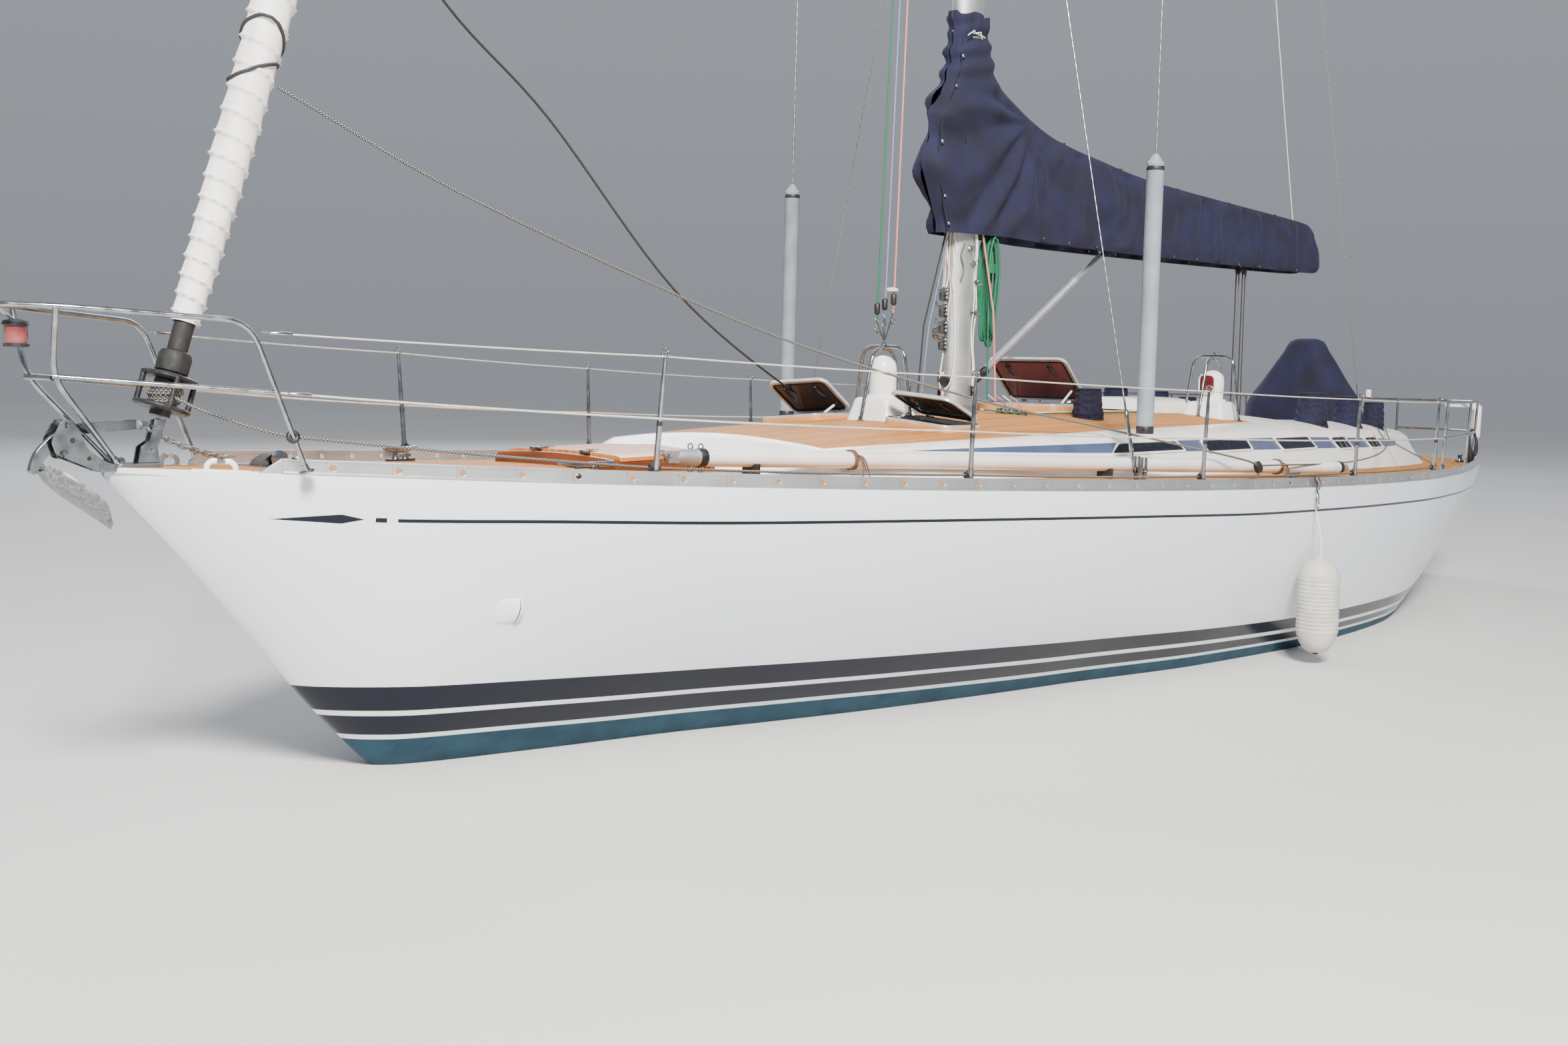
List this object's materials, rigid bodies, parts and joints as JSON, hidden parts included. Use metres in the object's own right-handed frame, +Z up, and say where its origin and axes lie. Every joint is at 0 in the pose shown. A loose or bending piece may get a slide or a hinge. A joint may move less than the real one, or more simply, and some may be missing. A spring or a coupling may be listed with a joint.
{
  "type": "sailing yacht",
  "caption": "White ocean sailing yacht with a teak deck, a furled headsail, a navy mainsail cover on the boom and open deck hatches.",
  "frame": {"origin": "on the centreline at the waterline, halfway along the hull", "axes": "+X to the bow, +Y to port, +Z up along the mast"},
  "size_m": [14.8627, 4.593, 24.15],
  "materials": {
    "topsides": "gloss",
    "deck": "satin",
    "antifouling": "matte",
    "steel": "polished",
    "brushed": "brushed",
    "bronze": "satin",
    "engine": "satin",
    "alloy": "anodised",
    "galvanised": "galvanised",
    "drum": "satin",
    "sailcloth": "matte",
    "spar": "anodised",
    "tube": "gloss",
    "canvas": "matte",
    "varnish": "gloss",
    "acrylic": "gloss",
    "gelcoat": "gloss",
    "fender": "satin"
  },
  "bodies": {
    "yacht": {"hull_shell": "topsides", "foredeck": "deck", "coachroof_forward": "deck", "coachroof_middle": "deck", "cockpit_deck": "deck", "fin_keel": "antifouling", "shaft_strut": "bronze", "engine_block": "engine", "toe_rail_port": "alloy", "toe_rail_starboard": "alloy", "pulpit": "steel", "pushpit": "steel", "guard_rail_port": "steel", "guard_rail_starboard": "steel", "stem_fitting": "brushed", "anchor": "galvanised", "mast": "spar", "spreaders_lower": "spar", "spreaders_upper": "spar", "shrouds_port": "brushed", "shrouds_starboard": "brushed", "shroud_tube_port": "tube", "shroud_tube_starboard": "tube", "backstay": "brushed", "mast_cover": "canvas", "fore_hatch_coaming": "varnish", "port_hatch_frame": "alloy", "starboard_hatch_frame": "alloy", "saloon_hatch_frame": "alloy", "sea_hood": "gelcoat", "washboards": "varnish", "window_pane_port": "acrylic", "window_pane_starboard": "acrylic", "dorade_forward": "gelcoat", "dorade_aft": "gelcoat", "winch_cover_cockpit_1_port": "canvas", "winch_cover_cockpit_1_starboard": "canvas", "winch_cover_cockpit_2_port": "canvas", "winch_cover_cockpit_2_starboard": "canvas", "winch_cover_cockpit_3_port": "canvas", "winch_cover_cockpit_3_starboard": "canvas", "winch_cover_roof": "canvas", "pedestal": "gelcoat", "wheel_cover": "canvas", "spinnaker_pole": "tube", "fender": "fender", "bow_cleat_port": "alloy", "bow_cleat_starboard": "alloy"},
    "steering": {"rudder": "antifouling"},
    "screw": {"propeller": "bronze"},
    "main_boom": {"boom": "spar", "vang": "alloy", "boom_cover": "canvas"},
    "furler": {"furler_drum": "drum", "furled_genoa": "sailcloth"},
    "fore_hatch": {"fore_hatch_lid": "varnish"},
    "port_hatch": {"port_hatch_lid": "acrylic"},
    "starboard_hatch": {"starboard_hatch_lid": "acrylic"},
    "saloon_hatch": {"saloon_hatch_lid": "acrylic"},
    "sliding_hatch": {"companionway_hatch": "gelcoat"}
  },
  "joints": [
    {"name": "rudder_stock", "type": "hinge", "parent": "yacht", "child": "steering", "pos_m": [-5.6, 0, -0.9], "axis": [0, 0, 1], "range_deg": [-35, 35]},
    {"name": "propeller_turn", "type": "hinge", "parent": "yacht", "child": "screw", "pos_m": [-4.4, 0, -0.8167], "axis": [0.9903, 0, 0.1391], "continuous": true},
    {"name": "gooseneck", "type": "hinge", "parent": "yacht", "child": "main_boom", "pos_m": [0.545, 0, 3.19], "axis": [0, 0, 1], "range_deg": [-60, 60]},
    {"name": "furler_turn", "type": "hinge", "parent": "yacht", "child": "furler", "pos_m": [6.91646, 0, 1.8], "axis": [-0.2951, 0, 0.9555], "continuous": true},
    {"name": "fore_hatch_hinge", "type": "hinge", "parent": "yacht", "child": "fore_hatch", "pos_m": [4.569, 0, 1.5875], "axis": [0, 1, 0], "range_deg": [0, 60]},
    {"name": "port_hatch_hinge", "type": "hinge", "parent": "yacht", "child": "port_hatch", "pos_m": [1.6, 0.56, 1.752], "axis": [0, 1, 0], "range_deg": [-68, 22]},
    {"name": "starboard_hatch_hinge", "type": "hinge", "parent": "yacht", "child": "starboard_hatch", "pos_m": [1.6, -0.56, 1.752], "axis": [0, 1, 0], "range_deg": [-56, 34]},
    {"name": "saloon_hatch_hinge", "type": "hinge", "parent": "yacht", "child": "saloon_hatch", "pos_m": [-0.52, 0, 1.846], "axis": [0, 1, 0], "range_deg": [-48, 42]},
    {"name": "hatch_slide", "type": "slide", "parent": "yacht", "child": "sliding_hatch", "axis": [1, 0, 0], "range_m": [0, 0.68]}
  ]
}
